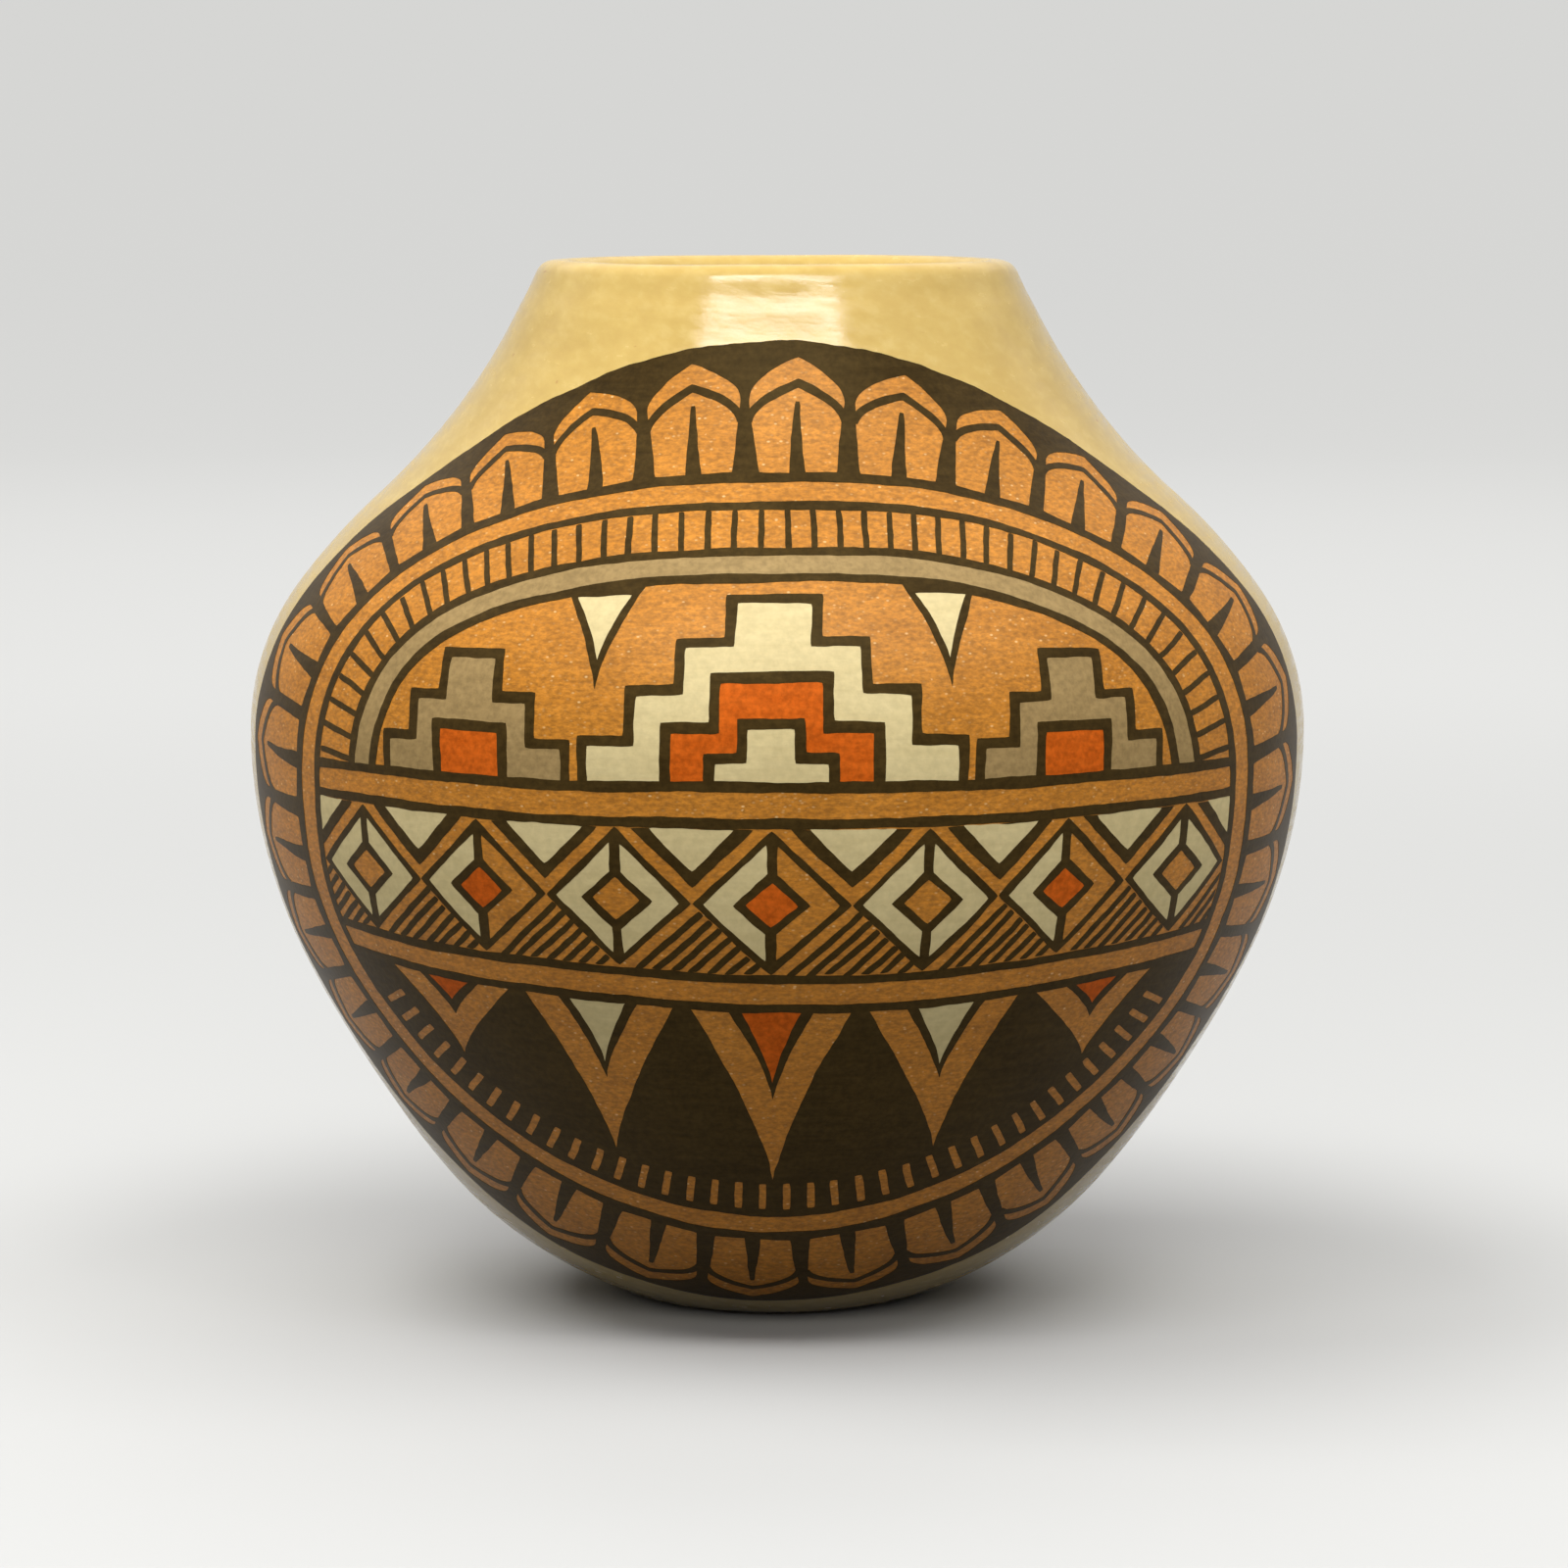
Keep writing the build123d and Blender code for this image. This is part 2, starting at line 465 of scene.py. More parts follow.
def oval_point(turn):
    """A point of the medallion's outline, which is squarer above than below."""
    c, s = math.cos(turn), math.sin(turn)
    squareness, rise = SQUARENESS_BELOW, DEPTH_BELOW
    if s > 0:
        squareness, rise = SQUARENESS_ABOVE, HALF_HEIGHT
    power = 2 / squareness
    return HALF_WIDTH * math.copysign(abs(c) ** power, c), rise * math.copysign(abs(s) ** power, s)


def evenly(path, count):
    """Points at even distances along a closed path, from its start."""
    closed = np.concatenate([path, path[:1]])
    reach = np.concatenate([[0.0], np.cumsum(np.linalg.norm(np.diff(closed, axis=0), axis=1))])
    wanted = np.arange(count) / count * reach[-1]
    return np.column_stack([np.interp(wanted, reach, closed[:, k]) for k in (0, 1)])


def even_path(inset, count):
    """Points at even distances along the outline moved inwards, counter-clockwise from the right."""
    turns = 2 * math.pi * np.arange(OUTLINE_SAMPLES) / OUTLINE_SAMPLES
    path = evenly(np.array([oval_point(turn) for turn in turns]), OUTLINE_SAMPLES)
    along = np.roll(path, -1, axis=0) - np.roll(path, 1, axis=0)
    along /= np.linalg.norm(along, axis=1)[:, None]
    inwards = np.column_stack([-along[:, 1], along[:, 0]])
    return [tuple(point) for point in evenly(path + inwards * inset, count).tolist()]


def oval(inset):
    """The medallion's outline moved inwards."""
    return even_path(inset, OVAL_POINTS)


def box(x0, y0, x1, y1):
    return [(x0, y0), (x1, y0), (x1, y1), (x0, y1)]


def moved(points, dx, dy):
    return [(x + dx, y + dy) for x, y in points]


def unit(x, y):
    size = math.hypot(x, y)
    return x / size, y / size


def clipped(points, window):
    """The part of a shape that lies in a convex window drawn counter-clockwise."""
    for (ax, ay), (bx, by) in zip(window, window[1:] + window[:1]):
        sides = [(bx - ax) * (y - ay) - (by - ay) * (x - ax) for x, y in points]
        kept = []
        for k, (x, y) in enumerate(points):
            px, py = points[k - 1]
            if (sides[k - 1] < 0) != (sides[k] < 0):
                share = sides[k - 1] / (sides[k - 1] - sides[k])
                kept.append((px + (x - px) * share, py + (y - py) * share))
            if sides[k] >= 0:
                kept.append((x, y))
        points = kept
    return points


def stroke(points, width):
    """A brush line of even width along an open path."""
    left, right = [], []
    for k, (x, y) in enumerate(points):
        ax, ay = points[max(k - 1, 0)]
        bx, by = points[min(k + 1, len(points) - 1)]
        wx, wy = unit(bx - ax, by - ay)
        left.append((x - wy * width / 2, y + wx * width / 2))
        right.append((x + wy * width / 2, y - wx * width / 2))
    return right + left[::-1]


def ring_places(inset, count):
    """Even places along an oval, each amid four short steps, as points and outward directions."""
    path = even_path(inset, 4 * count)
    places = []
    for k in range(2, len(path), 4):
        (ax, ay), (bx, by) = path[k - 1], path[k + 1]
        wx, wy = unit(bx - ax, by - ay)
        places.append((path[k], (wy, -wx)))
    return places


def stood(points, place):
    """A shape drawn upright, set on a place of the ring with its top outwards."""
    (cx, cy), (ox, oy) = place
    return [(cx + x * oy + y * ox, cy - x * ox + y * oy) for x, y in points]


def ring_stroke(place, outwards, inwards, width):
    """A brush line through a place of the ring, from outside it to inside it."""
    (x, y), (ox, oy) = place
    return stroke([(x + ox * outwards, y + oy * outwards), (x - ox * inwards, y - oy * inwards)], width)


def blade(centre, top, half_width, depth):
    """A blade that hangs point down, with hollow sides."""
    side = []
    for k in range(BLADE_STEPS + 1):
        side.append((half_width * (1 - k / BLADE_STEPS) ** BLADE_HOLLOW, top - depth * k / BLADE_STEPS))
    return [(centre + x, y) for x, y in side[::-1]] + [(centre - x, y) for x, y in side[:-1]]


def diamond(centre, half_width, half_height):
    return [(centre - half_width, 0), (centre, -half_height), (centre + half_width, 0), (centre, half_height)]


# Medallion

def feather_tip(low):
    """The pointed arch of a feather's tip over a height, from right to left."""
    shares = [k / FEATHER_TIP_STEPS for k in range(FEATHER_TIP_STEPS + 1)]
    half = FEATHER_TIP_WIDTH / 2
    right = [(half * (1 - share ** 2), low + FEATHER_TIP_LENGTH * share) for share in shares]
    return right + [(-x, y) for x, y in right[-2::-1]]


def feather(length):
    """A ring feather about its middle, with its pointed tip up."""
    root = FEATHER_ROOT_WIDTH / 2
    return [(-root, -length / 2), (root, -length / 2), *feather_tip(length / 2 - FEATHER_TIP_LENGTH)]


def tip_bar(length):
    """The dark bar across a feather, bent like its tip."""
    return stroke(feather_tip(length / 2 - FEATHER_TIP_LENGTH - FEATHER_BAR_DROP), FEATHER_BAR_WIDTH)


def quill(length):
    """The dark wedge up the middle of a feather."""
    low = -length / 2 - QUILL_OVERLAP
    root, tip = QUILL_ROOT_HALF_WIDTH, QUILL_TIP_HALF_WIDTH
    return [(-root, low), (root, low), (tip, QUILL_TIP), (-tip, QUILL_TIP)]


def feather_ring(shapes):
    length = FEATHER_INNER - FEATHER_OUTER
    for place in ring_places((FEATHER_OUTER + FEATHER_INNER) / 2, FEATHER_COUNT):
        shapes.append(("ochre", stood(feather(length), place)))
        shapes.append(("black", stood(tip_bar(length), place)))
        shapes.append(("black", stood(quill(length), place)))


def terrace(half_width, height, steps, inset):
    """A stepped pyramid on the line y = 0, with its steps moved inwards."""
    right = []
    low = 0.0
    for k in range(steps):
        reach = half_width * (1 - k / steps) - inset
        top = height * (k + 1) / steps - inset
        if reach > LEAST_STEP and top > LEAST_STEP:
            right += [(reach, low), (reach, top)]
            low = top
    return right + [(-x, y) for x, y in reversed(right)]


def upper_field(shapes):
    """Fringe and arc inside the rings, drops under the arc and terraces on the band."""
    window = clipped(oval(FIELD), box(-HALF_WIDTH, BAND_HALF_HEIGHT - TUCK, HALF_WIDTH, HALF_HEIGHT))
    depth = FIELD + FRINGE_DEPTH
    shapes.append(("ochre", window))
    shapes.append(("black", clipped(oval(depth), window)))
    shapes.append(("grey", clipped(oval(depth + LINE), window)))
    shapes.append(("black", clipped(oval(depth + LINE + ARC_BAND), window)))
    shapes.append(("ochre", clipped(oval(depth + 2 * LINE + ARC_BAND), window)))
    for place in ring_places(FIELD, FRINGE_COUNT):
        line = ring_stroke(place, 0.0, FRINGE_DEPTH + FRINGE_OVERLAP, FRINGE_WIDTH)
        shapes.append(("black", clipped(line, window)))
    drops(shapes, clipped(oval(depth + LINE + ARC_BAND + DROP_OVERLAP), window))
    terraces(shapes, window)


def drops(shapes, window):
    for centre in DROP_CENTRES:
        drop = blade(centre, DROP_TOP, DROP_HALF_WIDTH, DROP_DEPTH)
        heart_width, heart_depth = DROP_HALF_WIDTH - DROP_SIDE_INSET, DROP_DEPTH - DROP_TIP_INSET
        heart = blade(centre, DROP_TOP - 2 * LINE, heart_width, heart_depth)
        shapes.append(("black", clipped(drop, window)))
        shapes.append(("cream", clipped(heart, window)))


def terraces(shapes, window):
    for centre, half_width, height, steps, layers in TERRACES:
        for inset, colour in layers:
            layer = moved(terrace(half_width, height, steps, inset), centre, BAND_HALF_HEIGHT - TUCK)
            shapes.append((colour, clipped(layer, window)))


def lower_field(shapes):
    """Blades under the band and short strokes along the rings."""
    top = TUCK - BAND_HALF_HEIGHT
    window = clipped(oval(FIELD), box(-HALF_WIDTH, -HALF_HEIGHT, HALF_WIDTH, top))
    shapes.append(("black", window))
    for centre, depth, heart in BLADES:
        core_width, core_depth = BLADE_HALF_WIDTH * CORE_WIDTH_SHARE, depth * CORE_DEPTH_SHARE
        heart_width, heart_depth = core_width - HEART_SIDE_INSET, core_depth - HEART_TIP_INSET
        shapes.append(("ochre", clipped(blade(centre, top, BLADE_HALF_WIDTH, depth), window)))
        shapes.append(("black", clipped(blade(centre, top, core_width, core_depth), window)))
        shapes.append((heart, clipped(blade(centre, top, heart_width, heart_depth), window)))
    for place in ring_places(FIELD, FRINGE_COUNT):
        if place[0][1] < -BAND_HALF_HEIGHT - FRINGE_DEPTH:
            line = ring_stroke(place, STROKE_OVERLAP, STROKE_LENGTH, STROKE_WIDTH)
            shapes.append(("ochre", clipped(line, window)))


def middle_band(shapes):
    """The band with a bar along each edge and a row of split diamonds."""
    half = CELL_HALF_HEIGHT
    window = clipped(oval(FIELD), box(-HALF_WIDTH, -BAND_HALF_HEIGHT, HALF_WIDTH, BAND_HALF_HEIGHT))
    cells = clipped(window, box(-HALF_WIDTH, -half, HALF_WIDTH, half))
    shapes.append(("black", window))
    for low in (half + LINE, -half - LINE - BAND_BAR):
        shapes.append(("ochre", clipped(box(-HALF_WIDTH, low, HALF_WIDTH, low + BAND_BAR), window)))
    shapes.append(("ochre", cells))
    for n in range(DIAMOND_COUNT):
        place = n - DIAMOND_COUNT // 2
        odd = place % 2
        x = 2 * DIAMOND_HALF_WIDTH * place
        inner = diamond(x, DIAMOND_HALF_WIDTH * DIAMOND_INNER_SHARE, half * DIAMOND_INNER_SHARE)
        left = clipped(inner, box(-HALF_WIDTH, -half, x - LINE / 2, half))
        right = clipped(inner, box(x + LINE / 2, -half, HALF_WIDTH, half))
        shapes.append(("black", clipped(diamond(x, DIAMOND_HALF_WIDTH, half), cells)))
        shapes.append(("cream", clipped(left, cells)))
        shapes.append(("cream" if odd else "ochre", clipped(right, cells)))
        shapes.append(("black", clipped(diamond(x, *KERNEL_RIM), cells)))
        shapes.append(("ochre" if odd else "red", clipped(diamond(x, *KERNEL), cells)))


def gap_triangle(centre, inset, side):
    """The gap between two diamonds, above (side 1) or below (side -1), moved inwards."""
    slope = CELL_HALF_HEIGHT / DIAMOND_HALF_WIDTH
    rise = inset * math.hypot(1.0, slope)
    half_width = (CELL_HALF_HEIGHT - rise) / slope
    corners = [(-half_width, CELL_HALF_HEIGHT), (0.0, rise), (half_width, CELL_HALF_HEIGHT)]
    if side < 0:
        corners = [(x, -y) for x, y in reversed(corners)]
    return moved(corners, centre, 0.0)


def band_gaps(shapes):
    """Nested triangles above and fine hatching below, between the diamonds of the band."""
    half = CELL_HALF_HEIGHT
    cells = clipped(oval(FIELD), box(-HALF_WIDTH, -half, HALF_WIDTH, half))
    for n in range(DIAMOND_COUNT + 1):
        centre = (2 * n - DIAMOND_COUNT) * DIAMOND_HALF_WIDTH
        shapes.append(("black", clipped(gap_triangle(centre, GAP_MARGIN, 1), cells)))
        shapes.append(("cream", clipped(gap_triangle(centre, GAP_HEART, 1), cells)))
        hatched = gap_triangle(centre, 0.0, -1)
        for k in range(HATCH_COUNT):
            x = centre + k * HATCH_STEP
            line = stroke([(x - half, -half - HATCH_STEP), (x + half, half - HATCH_STEP)], HATCH_WIDTH)
            shapes.append(("black", clipped(clipped(line, hatched), cells)))


def medallion():
    """All shapes of the medallion in the order that they are painted, as colour and outline."""
    shapes = [("black", oval(0.0))]
    feather_ring(shapes)
    shapes.append(("ochre", oval(RING_LINE_OUTER)))
    shapes.append(("black", oval(RING_LINE_INNER)))
    upper_field(shapes)
    lower_field(shapes)
    middle_band(shapes)
    band_gaps(shapes)
    return [(colour, points) for colour, points in shapes if len(points) > 2]


# Paint on the jar

def divided(points):
    """A closed shape with its sides cut into short steps."""
    fine = []
    for (ax, ay), (bx, by) in zip(points, points[1:] + points[:1]):
        count = max(1, round(math.dist((ax, ay), (bx, by)) / PAINT_EDGE_STEP))
        fine += [(ax + (bx - ax) * k / count, ay + (by - ay) * k / count) for k in range(count)]
    return fine


def eased(points):
    """A closed shape with its corners a little round."""
    kept = 1 - 2 * CORNER_EASE
    result = []
    for k, (x, y) in enumerate(points):
        (ax, ay), (bx, by) = points[k - 1], points[(k + 1) % len(points)]
        result.append((x * kept + (ax + bx) * CORNER_EASE, y * kept + (ay + by) * CORNER_EASE))
    return result


def strayed(point, habit, seed):
    """How far the hand strays from a point."""
    size, length = habit
    place = Vector((point[0] / length, point[1] / length, seed))
    return size * Vector((noise.noise(place), noise.noise(place + SECOND_NOISE)))


def brushed(points, seed):
    """A shape as a brush leaves it: corners a little round and edges a little unsteady."""
    result = []
    for point in eased(divided(points)):
        drift = strayed(point, HAND_DRIFT, 0.0)
        shake = strayed(point, BRUSH_SHAKE, seed)
        result.append(Vector(point) + drift + shake + strayed(point, BRUSH_EDGE, seed))
    return result


def signed_area(points):
    return sum(a.x * b.y - b.x * a.y for a, b in zip(points, points[1:] + points[:1])) / 2


def painted_shapes(side):
    """The medallion's brushed shapes: points, each shape's point numbers and each shape's colour."""
    points, faces, colours = [], [], []
    for number, (colour, shape) in enumerate(medallion()):
        shape = brushed(shape, number + SEED_STEP * side)
        if signed_area(shape) < 0:
            shape.reverse()
        faces.append(list(range(len(points), len(points) + len(shape))))
        points += shape
        colours.append(colour)
    return points, faces, colours


def grid_points(edges):
    """Points of a staggered grid in the medallion, clear of the points of painted edges."""
    edge_tree = kdtree.KDTree(len(edges))
    for k, point in enumerate(edges):
        edge_tree.insert((point.x, point.y, 0.0), k)
    edge_tree.balance()
    rows = int(HALF_HEIGHT / PAINT_GRID) + 1
    columns = int(HALF_WIDTH / PAINT_GRID) + 1
    points = []
    for row in range(-rows, rows + 1):
        for column in range(-columns, columns + 1):
            x, y = (column + row % 2 / 2) * PAINT_GRID, row * PAINT_GRID
            inside = (x / HALF_WIDTH) ** 2 + (y / HALF_HEIGHT) ** 2 < GRID_SHARE
            if inside and edge_tree.find((x, y, 0.0))[2] > GRID_CLEARANCE:
                points.append(Vector((x, y)))
    return points


def mosaic(side):
    """The medallion cut into triangles: flat points, triangles and each triangle's colour."""
    edges, faces, colours = painted_shapes(side)
    points = edges + grid_points(edges)
    flat, _, triangles, _, _, sources = delaunay_2d_cdt(points, [], faces, INSIDE_ONLY, WELD)
    tops = [colours[max(source)] for source in sources]
    return np.array([tuple(point) for point in flat]), np.array(triangles), np.array(tops)


def wrapped(flat, heading):
    """Turn and reach on the jar of flat points of the medallion."""
    polar = np.arctan2(HEIGHT - CHART_HEIGHT, RADIUS)
    outside = REACH <= LIP_START
    size = np.linalg.norm(flat, axis=1)
    along = flat / np.maximum(size, TINY)[:, None]
    angle = size / CHART_RADIUS
    front = np.array([0.0, -math.cos(CHART_TILT), math.sin(CHART_TILT)])
    right = np.array([1.0, 0.0, 0.0])
    up = np.cross(front, right)
    ways = (np.cos(angle)[:, None] * front
            + np.sin(angle)[:, None] * (along[:, :1] * right + along[:, 1:] * up))
    turn = np.arctan2(ways[:, 0], -ways[:, 1]) + heading
    return turn, np.interp(np.arcsin(ways[:, 2]), polar[outside], REACH[outside])


def separate_corners(triangles):
    """Vertex numbers for triangles that share a vertex only where they share an edge beside it."""
    parent = list(range(triangles.size))

    def root(k):
        while parent[k] != k:
            parent[k] = parent[parent[k]]
            k = parent[k]
        return k

    seen = {}
    for number, triangle in enumerate(triangles.tolist()):
        for k in range(3):
            a, b = triangle[k], triangle[(k + 1) % 3]
            corner_a, corner_b = 3 * number + k, 3 * number + (k + 1) % 3
            if (b, a) in seen:
                other_b, other_a = seen[(b, a)]
                parent[root(corner_a)] = root(other_a)
                parent[root(corner_b)] = root(other_b)
            seen[(a, b)] = (corner_a, corner_b)
    roots = np.array([root(k) for k in range(triangles.size)])
    corners, numbers = np.unique(roots, return_inverse=True)
    return triangles.reshape(-1)[corners], numbers.reshape(-1, 3)


def slab(flat, triangles, heading, lift):
    """A closed slab of paint: points, top faces, other faces, and normals at the top points."""
    vertices, faces = separate_corners(triangles)
    turn, reach = wrapped(flat[vertices], heading)
    points = np.concatenate([on_jar(turn, reach, lift), on_jar(turn, reach, PAINT_BED)])
    below = len(vertices)
    edges = {(int(f[k]), int(f[(k + 1) % 3])) for f in faces for k in range(3)}
    walls = [(b, a, a + below, b + below) for a, b in edges if (b, a) not in edges]
    walls.sort()
    under = (faces[:, ::-1] + below).tolist()
    return points, faces.tolist(), under + walls, face_normals(turn, reach)


def paint(colour, mosaics):
    """All paint of one colour, on the front and the back, smooth on top like the slip below it."""
    points = np.empty((0, 3))
    tops, others, normals = [], [], []
    for heading, (flat, triangles, colours) in zip(CHART_HEADINGS, mosaics):
        part, top, other, top_normals = slab(flat, triangles[colours == colour], heading, PAINT_LIFT[colour])
        start = len(points)
        points = np.concatenate([points, part])
        tops += [tuple(k + start for k in face) for face in top]
        others += [tuple(k + start for k in face) for face in other]
        normals += [top_normals[k] for face in top for k in face]
    piece = new_piece(f"paint_{colour}", points, tops + others)
    smooth = np.zeros(len(piece.data.polygons), dtype=bool)
    smooth[:len(tops)] = True
    piece.data.polygons.foreach_set("use_smooth", smooth)
    normals += [(0.0, 0.0, 0.0)] * sum(len(face) for face in others)
    piece.data.normals_split_custom_set(normals)
    return piece


# Materials

def node(tree, kind, inputs=None, **settings):
    """A new node with its settings and its inputs, which are values or sockets to link."""
    made = tree.nodes.new(kind)
    for name, value in settings.items():
        setattr(made, name, value)
    for name, value in (inputs or {}).items():
        if isinstance(value, bpy.types.NodeSocket):
            tree.links.new(value, made.inputs[name])
        else:
            made.inputs[name].default_value = value
    return made


def new_material(name, roughness, specular):
    material = bpy.data.materials.new(name)
    material.use_nodes = True
    tree = material.node_tree
    shader = tree.nodes["Principled BSDF"]
    shader.inputs["Roughness"].default_value = roughness
    shader.inputs["Specular IOR Level"].default_value = specular
    return material, tree, shader


def where(tree, size, turn):
    """Places on the piece, counted in patches of a size in millimetres along turned axes."""
    place = node(tree, "ShaderNodeTexCoord").outputs["Object"]
    inputs = {"Vector": place, "Scale": [side * MM for side in size], "Rotation": turn}
    return node(tree, "ShaderNodeMapping", inputs, vector_type="TEXTURE").outputs["Vector"]


def speckle(tree, size, detail, roughness, turn=STRAIGHT):
    """Soft random patches of a size in millimetres."""
    inputs = {"Vector": where(tree, size, turn), "Scale": 1.0, "Detail": detail, "Roughness": roughness}
    return node(tree, "ShaderNodeTexNoise", inputs).outputs["Fac"]


def span(tree, value, source, target=(0.0, 1.0)):
    """A value stretched from one range to another and held at its ends."""
    inputs = {
        "Value": value,
        "From Min": source[0],
        "From Max": source[1],
        "To Min": target[0],
        "To Max": target[1],
    }
    return node(tree, "ShaderNodeMapRange", inputs).outputs["Result"]


def scaled(tree, value, factor):
    """A value between zero and one, times a factor."""
    return span(tree, value, (0.0, 1.0), (0.0, factor))


def mixed(tree, share, first, second, blend="MIX"):
    inputs = {MIX_SHARE: share, MIX_FIRST: first, MIX_SECOND: second}
    return node(tree, "ShaderNodeMix", inputs, data_type="RGBA", blend_type=blend).outputs[MIX_RESULT]


def combined(tree, operation, first, second):
    return node(tree, "ShaderNodeMath", {0: first, 1: second}, operation=operation).outputs[0]


def bumped(tree, shader, height, depth):
    """Relief of a depth in millimetres."""
    bump = node(tree, "ShaderNodeBump", {"Height": height, "Distance": depth * MM})
    tree.links.new(bump.outputs["Normal"], shader.inputs["Normal"])


def slip_material():
    """Polished slip: clouds, pale and dark blotches, rusty flecks and uneven gloss."""
    material, tree, shader = new_material("burnished_slip", SLIP_ROUGHNESS, SLIP_SPECULAR)
    clouds = speckle(tree, *SLIP_CLOUDS)
    blotches = speckle(tree, *SLIP_BLOTCHES)
    polish = speckle(tree, *SLIP_POLISH)
    flecks = speckle(tree, *SLIP_FLECKS)
    colour = mixed(tree, span(tree, clouds, CLOUD_RANGE), SLIP_DEEP, SLIP_CLEAR)
    colour = mixed(tree, span(tree, blotches, PALE_RANGE, BLOTCH_SHARE), colour, SLIP_PALE)
    colour = mixed(tree, span(tree, blotches, DARK_RANGE, BLOTCH_SHARE), colour, SLIP_DARK)
    colour = mixed(tree, span(tree, flecks, FLECK_RANGE, FLECK_SHARE), colour, SLIP_RUST)
    tree.links.new(colour, shader.inputs["Base Color"])
    gloss = span(tree, combined(tree, "ADD", polish, blotches), GLOSS_RANGE, GLOSS_ROUGHNESS)
    tree.links.new(gloss, shader.inputs["Roughness"])
    bumps = scaled(tree, blotches, BLOTCH_RELIEF_SHARE)
    streaks = scaled(tree, polish, POLISH_RELIEF_SHARE)
    bumped(tree, shader, combined(tree, "ADD", bumps, streaks), SLIP_RELIEF)
    return material


def paint_material(name, deep, pale, roughness, specular, sheen, contrast, grain, temper=False):
    """Mineral paint: a thin wash with brush streaks and grains, with or without clay temper and painted
    glints of mica.
    """
    material, tree, shader = new_material(name, roughness, specular)
    shader.inputs["Specular Tint"].default_value = sheen
    wash = speckle(tree, *PAINT_WASH)
    streaks = speckle(tree, *PAINT_STREAKS)
    grains = speckle(tree, grain, *GRAIN_FINENESS)
    colour = mixed(tree, span(tree, combined(tree, "ADD", wash, streaks), WASH_RANGE), deep, pale)
    shade = span(tree, grains, GRAIN_RANGE, (1.0 - contrast, 1.0 + contrast))
    colour = mixed(tree, 1.0, colour, shade, "MULTIPLY")
    if temper:
        colour = tempered_with_glints(tree, colour)
    tree.links.new(colour, shader.inputs["Base Color"])
    bumped(tree, shader, combined(tree, "ADD", grains, streaks), PAINT_RELIEF)
    return material


def tempered_with_glints(tree, colour):
    """A colour with the pale and dark grains of clay temper, the pale ones also painted glints of mica."""
    cells = node(tree, "ShaderNodeTexVoronoi", {"Vector": where(tree, TEMPER_SIZE, STRAIGHT), "Scale": 1.0})
    chance = cells.outputs["Color"]
    tone = mixed(tree, span(tree, chance, TEMPER_TONE_RANGE), TEMPER_DARK, TEMPER_PALE_AND_GLINT)
    # The pale grains are the boldest, as painted glints of mica
    strength = span(tree, chance, TEMPER_GLINT_RANGE, TEMPER_STRENGTH)
    share = span(tree, cells.outputs["Distance"], TEMPER_EDGE_RANGE, (0.0, strength))
    return mixed(tree, share, colour, tone)


def clay_material():
    """Bare clay, scraped round and round."""
    material, tree, shader = new_material("bare_clay", CLAY_ROUGHNESS, CLAY_SPECULAR)
    scrape = speckle(tree, *CLAY_SCRAPE)
    mottle = speckle(tree, *CLAY_MOTTLE)
    colour = mixed(tree, span(tree, mottle, CLAY_RANGE), CLAY_DARK, CLAY_PALE)
    tree.links.new(colour, shader.inputs["Base Color"])
    bumped(tree, shader, scrape, CLAY_RELIEF)
    return material


# Jar

def dress(piece, material):
    piece.data.materials.clear()
    piece.data.materials.append(material)


def jar():
    """The slip, the paints on it, and bare clay on the coils and the base."""
    dress(burnished_slip(), slip_material())
    mosaics = [mosaic(side) for side in range(len(CHART_HEADINGS))]
    for colour, look in PAINTS.items():
        dress(paint(colour, mosaics), paint_material(f"{colour}_paint", **look))
    clay = clay_material()
    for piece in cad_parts.values():
        for slot in piece.material_slots:
            slot.material = clay


# Stage

def seen_rays(tree):
    """One for rays of the eye, direct, mirrored or through glass, and zero for light."""
    rays = node(tree, "ShaderNodeLightPath").outputs
    direct = combined(tree, "MAXIMUM", rays["Is Camera Ray"], rays["Is Transmission Ray"])
    return combined(tree, "MAXIMUM", direct, rays["Is Glossy Ray"])


def floor_material():
    """Plain near the jar, where its shadow falls, and paler to the eye further out."""
    material, tree, shader = new_material("floor", FLOOR_ROUGHNESS, FLOOR_SPECULAR)
    seen = seen_rays(tree)
    spot = node(tree, "ShaderNodeNewGeometry").outputs["Position"]
    away = node(tree, "ShaderNodeVectorMath", {0: spot}, operation="LENGTH").outputs["Value"]
    reach = {"Value": away, "From Min": GLOW_START, "From Max": GLOW_END}
    far = node(tree, "ShaderNodeMapRange", reach, interpolation_type="SMOOTHSTEP").outputs["Result"]
    tone = mixed(tree, far, FLOOR_COLOUR, FAR_COLOUR)
    tree.links.new(mixed(tree, seen, FLOOR_BOUNCE, tone), shader.inputs["Base Color"])
    shader.inputs["Emission Color"].default_value = FLOOR_COLOUR
    glow = scaled(tree, combined(tree, "MULTIPLY", far, seen), GLOW)
    tree.links.new(glow, shader.inputs["Emission Strength"])
    return material


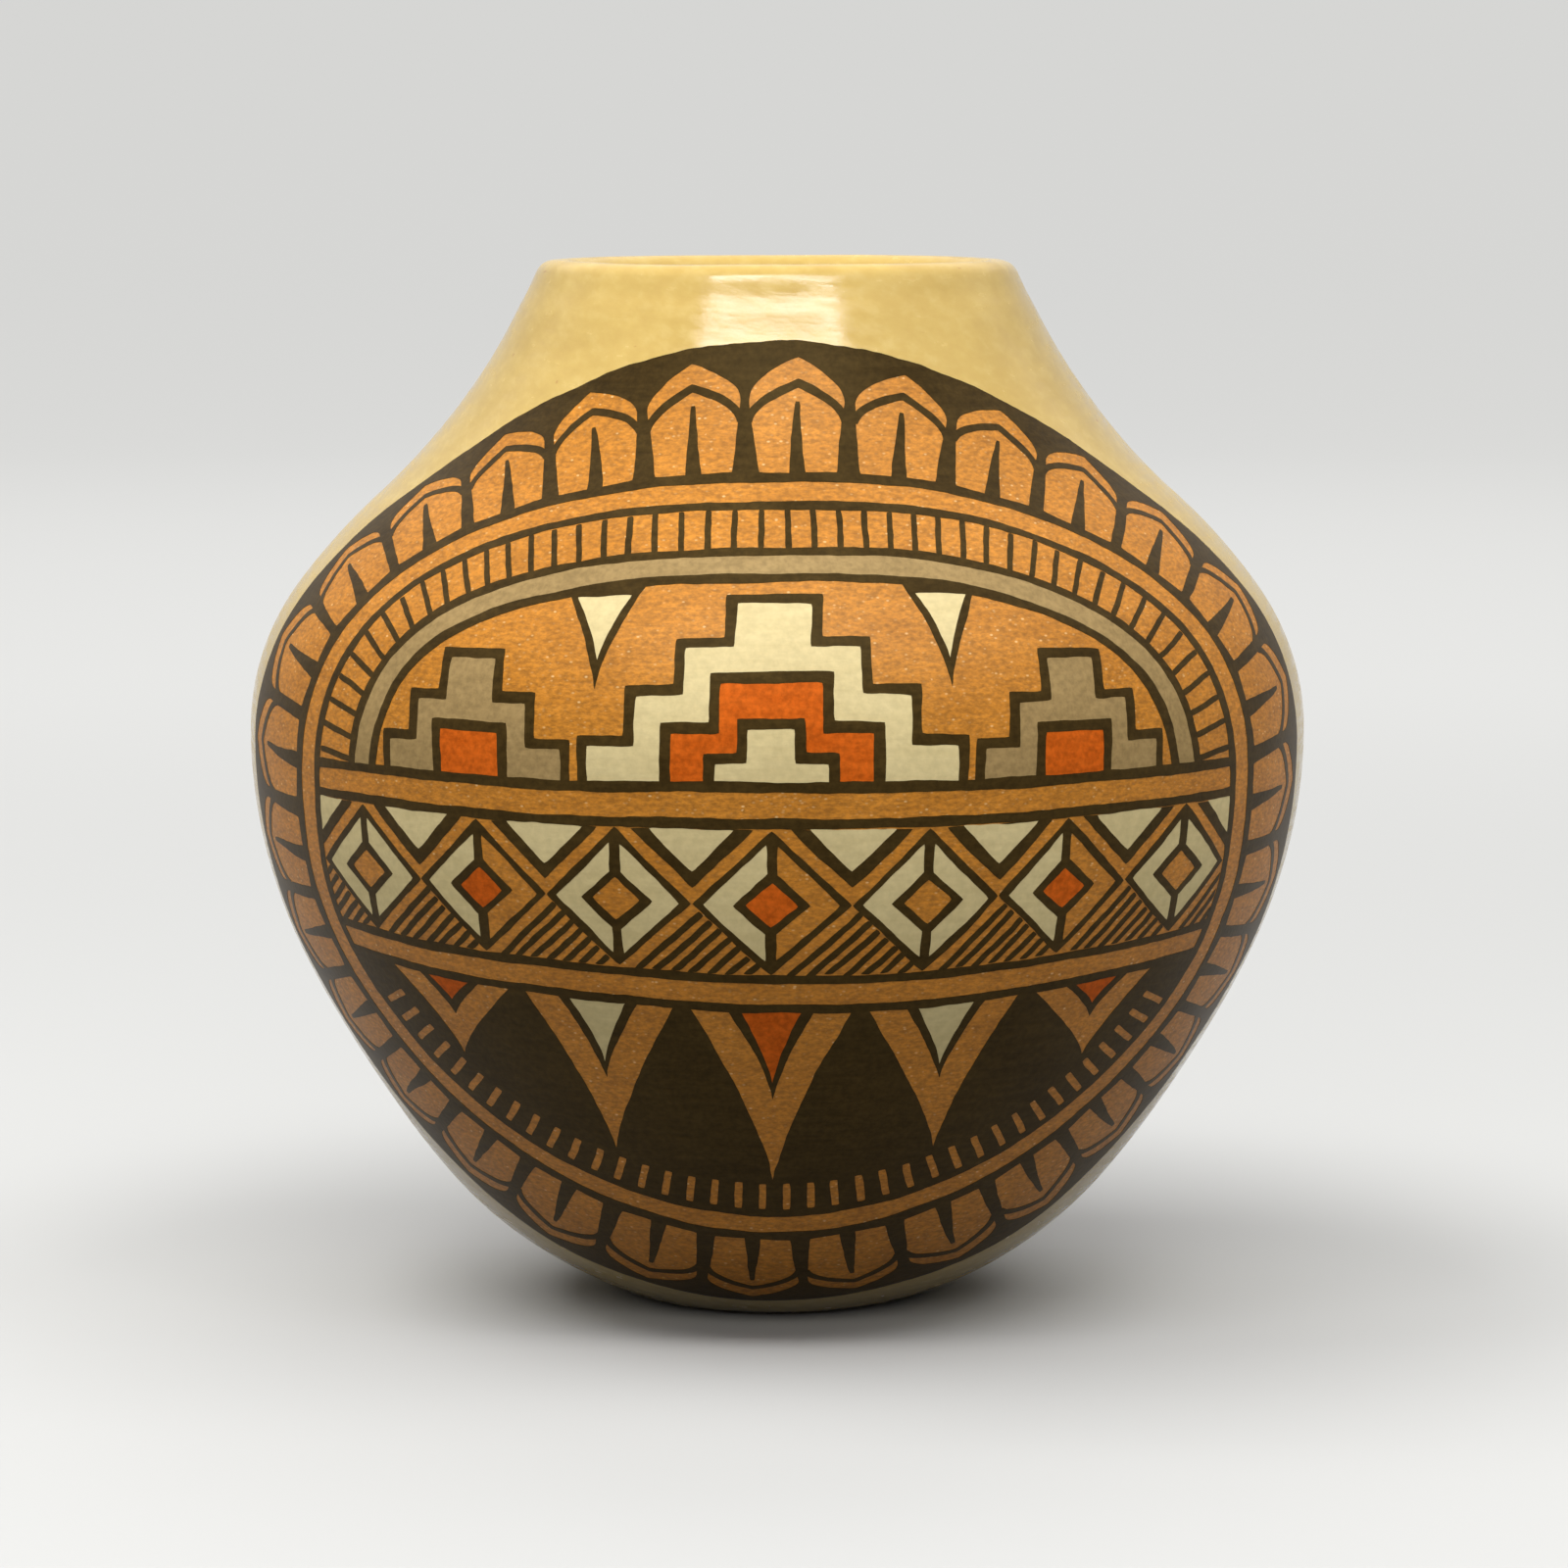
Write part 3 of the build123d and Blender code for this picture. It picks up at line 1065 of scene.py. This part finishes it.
def stage():
    """A pale round floor that curves up into a low wall on all sides."""
    bends = [math.pi / 2 * k / WALL_BEND_STEPS for k in range(WALL_BEND_STEPS + 1)]
    profile = [(FLOOR_RADIUS + WALL_BEND * math.sin(t), WALL_BEND * (1 - math.cos(t))) for t in bends]
    profile.append((FLOOR_RADIUS + WALL_BEND, WALL_HEIGHT))
    turns = [2 * math.pi * k / STAGE_SIDES for k in range(STAGE_SIDES)]
    points = [(r * math.cos(t), r * math.sin(t), z) for r, z in profile for t in turns]
    faces = [tuple(range(STAGE_SIDES))]
    for ring in range(len(profile) - 1):
        low = ring * STAGE_SIDES
        high = low + STAGE_SIDES
        for k in range(STAGE_SIDES):
            beside = (k + 1) % STAGE_SIDES
            faces.append((low + k, high + k, high + beside, low + beside))
    mesh = bpy.data.meshes.new("floor")
    mesh.from_pydata(points, [], faces)
    mesh.shade_smooth()
    floor = bpy.data.objects.new("floor", mesh)
    bpy.context.scene.collection.objects.link(floor)
    floor.data.materials.append(floor_material())


def about_jar(azimuth, elevation, distance):
    """A place about the jar's middle, with azimuth from the front towards the right."""
    a, e = math.radians(azimuth), math.radians(elevation)
    way = Vector((math.sin(a) * math.cos(e), -math.cos(a) * math.cos(e), math.sin(e)))
    return Vector(JAR_MIDDLE) + distance * way


def area_light(name, place, width, height, power, mirrored):
    """A soft rectangular lamp at a place in metres, aimed at the jar's middle."""
    lamp = bpy.data.lights.new(name, "AREA")
    lamp.shape = "RECTANGLE"
    lamp.size = width
    lamp.size_y = height
    lamp.energy = power
    light = bpy.data.objects.new(name, lamp)
    bpy.context.scene.collection.objects.link(light)
    light.location = place
    light.rotation_euler = (place - Vector(JAR_MIDDLE)).to_track_quat("Z", "Y").to_euler()
    light.visible_glossy = mirrored


def lights():
    for name, (azimuth, elevation, distance, *rest) in LAMPS.items():
        area_light(name, about_jar(azimuth, elevation, distance), *rest)


def room():
    """Even light from all sides, from a ceiling that is white to the eye and in what mirrors it."""
    world = bpy.data.worlds.new("studio")
    world.use_nodes = True
    tree = world.node_tree
    background = tree.nodes["Background"]
    background.inputs["Color"].default_value = (1, 1, 1, 1)
    strength = span(tree, seen_rays(tree), (0.0, 1.0), (CEILING_LIGHT, CEILING_SEEN))
    tree.links.new(strength, background.inputs["Strength"])
    bpy.context.scene.world = world


def camera():
    lens = bpy.data.cameras.new("camera")
    lens.lens = CAMERA_LENS
    view = bpy.data.objects.new("camera", lens)
    bpy.context.scene.collection.objects.link(view)
    view.location = Vector((CAMERA_SIDE, -CAMERA_DISTANCE, CAMERA_HEIGHT)) * MM
    view.rotation_euler = (math.pi / 2 - CAMERA_PITCH, 0, 0)
    bpy.context.scene.camera = view


jar()
stage()
lights()
room()
camera()
bpy.context.scene.view_settings.view_transform = "Standard"
